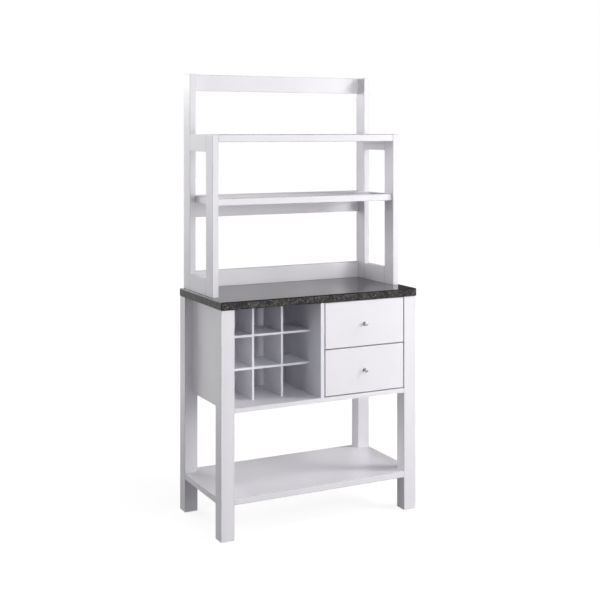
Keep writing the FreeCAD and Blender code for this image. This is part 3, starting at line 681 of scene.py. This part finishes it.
def brushed_nickel(name, centre):
    """Nickel with fine rings turned about the knob's own axis."""
    material, new, link, shader, place = node_tree(name)
    shift = new("ShaderNodeMapping")
    shift.inputs["Location"].default_value = [-value for value in centre]
    link(place, shift.inputs["Vector"])
    rings = new("ShaderNodeTexWave")
    rings.wave_type = "RINGS"
    rings.rings_direction = "Y"
    rings.inputs["Scale"].default_value = BRUSHING_SCALE
    rings.inputs["Distortion"].default_value = 2.5
    rings.inputs["Detail"].default_value = 3.0
    link(shift.outputs["Vector"], rings.inputs["Vector"])
    mark = rings.outputs["Fac"]
    link(blend(new, link, mark, NICKEL_COLOUR, NICKEL_SHADE), shader.inputs["Base Color"])
    shader.inputs["Metallic"].default_value = 1.0
    link(spread(new, link, mark, 0, 1, *NICKEL_ROUGHNESS), shader.inputs["Roughness"])
    link(bump(new, link, mark, strength=0.15, distance=0.00005), shader.inputs["Normal"])
    return material


for drawer in DRAWERS:
    knob_low, knob_high = (np.array(corner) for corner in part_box(drawer + "_knob"))
    foot = ((knob_low[0] + knob_high[0]) / 2, knob_high[1], (knob_low[2] + knob_high[2]) / 2)
    head = (knob_high[0] - knob_low[0]) / 2 - KNOB_SHY
    knob = turned_knob(drawer + "_turned_knob", foot, head, knob_high[1] - knob_low[1])
    nickel = brushed_nickel(drawer + "_nickel", foot)
    dress(knob, nickel, "brushed_nickel", drawer, drawer + "_knob")


# ---- Hutch side frames --------------------------------------------------------------------
# Each side is a short front post and a tall rear post of one-inch board, joined by a rail on
# the counter and a rail under the top shelf, all dowelled and glued, then painted.
HUTCH_EASE = 0.0016
for side in ("left", "right"):
    for board in ("post_front_", "post_rear_", "counter_rail_", "top_side_rail_"):
        painted_board(board + side, HUTCH_EASE)


# ---- Back rails ---------------------------------------------------------------------------
# Three thinner boards between the rear posts, flush with their backs: a backsplash on the
# counter, a rail under the middle shelf and one across the top.
for board in ("backsplash", "middle_rail", "top_rail"):
    painted_board(board, HUTCH_EASE)


# ---- Hutch shelves ------------------------------------------------------------------------
# Two thick shelves between the side frames, held by cam fittings from below. The top one
# is flush with the posts, and the middle one stands a little behind them.
TOP_SHELF_EASE = 0.0035
painted_board("middle_shelf", SHELF_EASE)
painted_board("top_shelf", TOP_SHELF_EASE)


# ---- Studio -------------------------------------------------------------------------------
# A white floor that keeps the rack's soft shadow, and a white surround for whatever looks
# at it. Soft boxes stand on the right and in front, low and high, on the left, and behind.
FLOOR_HALF = 30.0
FLOOR_BOUNCE = (0.5, 0.5, 0.5, 1)
FLOOR_SHADE = (0.33, 0.33, 0.33, 1)
FLOOR_GLOW = (0.83, 1.0)                # close to the rack, and far from it
FLOOR_REACH = (1.3, 2.6)                # between these distances the one turns into the other
MIRRORED_GLOW = 0.2                     # close to the rack, as the rack mirrors it
AMBIENT = 0.05                          # the surround's own light on the rack
BACKDROP_HEADING = math.radians(-20)    # the white paper hangs behind the rack, to the left
BACKDROP_EDGE = (0.63, 0.70)            # cosines of the angles from its middle at its edges
ROOM = 0.06                             # how light the room looks where no paper hangs
LAMP_AIM = 1.0                          # the height that the soft boxes point at
SOFT_BOXES = (
    # name, degrees right of the front, degrees up, metres away, metres wide, watts
    ("low_right_box", 50, 9, 3.8, 1.8, 59),
    ("high_right_box", 62, 34, 4.5, 1.0, 69),
    ("front_box", 7, 5, 5.0, 1.8, 65),
    ("high_front_box", 0, 28, 5.0, 1.8, 33),
    ("left_box", -78, 15, 7.0, 3.0, 74),
    ("back_left_box", -140, 10, 3.5, 1.6, 23),
    ("high_back_box", -160, 25, 3.5, 1.6, 35),
)


def emptied_tree(owner):
    """The new-node and link calls of a material's or world's tree, once it is cleared."""
    owner.use_nodes = True
    owner.node_tree.nodes.clear()
    return owner.node_tree.nodes.new, owner.node_tree.links.new


def seen_ray(new, link):
    """1 for rays from the camera, a reflection or through glass, and 0 for scattered light."""
    path = new("ShaderNodeLightPath")
    seen = path.outputs["Is Camera Ray"]
    for name in ("Is Glossy Ray", "Is Transmission Ray"):
        seen = combine(new, link, "MAXIMUM", seen, path.outputs[name])
    return seen


def studio_floor(name):
    """Seen, it is a pale shaded ground with a glow that grows outwards. Else it is dull grey."""
    material = bpy.data.materials.new(name)
    new, link = emptied_tree(material)
    bounce, shade = new("ShaderNodeBsdfDiffuse"), new("ShaderNodeBsdfDiffuse")
    bounce.inputs["Color"].default_value = FLOOR_BOUNCE
    shade.inputs["Color"].default_value = FLOOR_SHADE
    far = new("ShaderNodeVectorMath")
    far.operation = "LENGTH"
    link(new("ShaderNodeTexCoord").outputs["Object"], far.inputs[0])
    viewed = new("ShaderNodeLightPath").outputs["Is Camera Ray"]
    near = spread(new, link, viewed, 0, 1, MIRRORED_GLOW, FLOOR_GLOW[0])
    reach = spread(new, link, far.outputs["Value"], *FLOOR_REACH, *FLOOR_GLOW)
    link(near, reach.node.inputs["To Min"])
    glow, seen = new("ShaderNodeEmission"), new("ShaderNodeAddShader")
    link(reach, glow.inputs["Strength"])
    link(shade.outputs[0], seen.inputs[0])
    link(glow.outputs[0], seen.inputs[1])
    choose, output = new("ShaderNodeMixShader"), new("ShaderNodeOutputMaterial")
    link(seen_ray(new, link), choose.inputs[0])
    link(bounce.outputs[0], choose.inputs[1])
    link(seen.outputs[0], choose.inputs[2])
    link(choose.outputs[0], output.inputs["Surface"])
    return material


def studio_surround(name):
    """White to the camera. A reflection finds the paper or the room, and light is even."""
    world = bpy.data.worlds.new(name)
    new, link = emptied_tree(world)
    towards = new("ShaderNodeVectorMath")
    towards.operation = "DOT_PRODUCT"
    towards.inputs[1].default_value = (
        math.sin(BACKDROP_HEADING), math.cos(BACKDROP_HEADING), 0)
    link(new("ShaderNodeTexCoord").outputs["Generated"], towards.inputs[0])
    backdrop = spread(new, link, towards.outputs["Value"], *BACKDROP_EDGE, ROOM, 1.0)
    viewed = new("ShaderNodeLightPath").outputs["Is Camera Ray"]
    direct = combine(new, link, "MAXIMUM", backdrop, viewed)
    strength = fade(new, link, seen_ray(new, link), AMBIENT, direct)
    surround, output = new("ShaderNodeBackground"), new("ShaderNodeOutputWorld")
    surround.inputs["Color"].default_value = (1, 1, 1, 1)
    link(strength, surround.inputs["Strength"])
    link(surround.outputs[0], output.inputs["Surface"])
    return world


def add_lamp(name, heading, rise, distance, size, power):
    """A square soft box that points at the rack."""
    heading, rise = math.radians(heading), math.radians(rise)
    flat = distance * math.cos(rise)
    data = bpy.data.lights.new(name, "AREA")
    data.size = size
    data.energy = power
    lamp = bpy.data.objects.new(name, data)
    lamp.location = (
        flat * math.sin(heading), -flat * math.cos(heading),
        LAMP_AIM + distance * math.sin(rise))
    lamp.rotation_euler = (math.pi / 2 - rise, 0, heading)
    bpy.context.scene.collection.objects.link(lamp)


corners = ((-1, -1), (1, -1), (1, 1), (-1, 1))
floor_mesh = bpy.data.meshes.new("floor")
floor_mesh.from_pydata([(x * FLOOR_HALF, y * FLOOR_HALF, 0) for x, y in corners], [], [range(4)])
floor_mesh.materials.append(studio_floor("floor_paint"))
floor = bpy.data.objects.new("floor", floor_mesh)
bpy.context.scene.collection.objects.link(floor)

bpy.context.scene.world = studio_surround("surround")
for soft_box in SOFT_BOXES:
    add_lamp(*soft_box)

bpy.context.scene.view_settings.view_transform = "Standard"
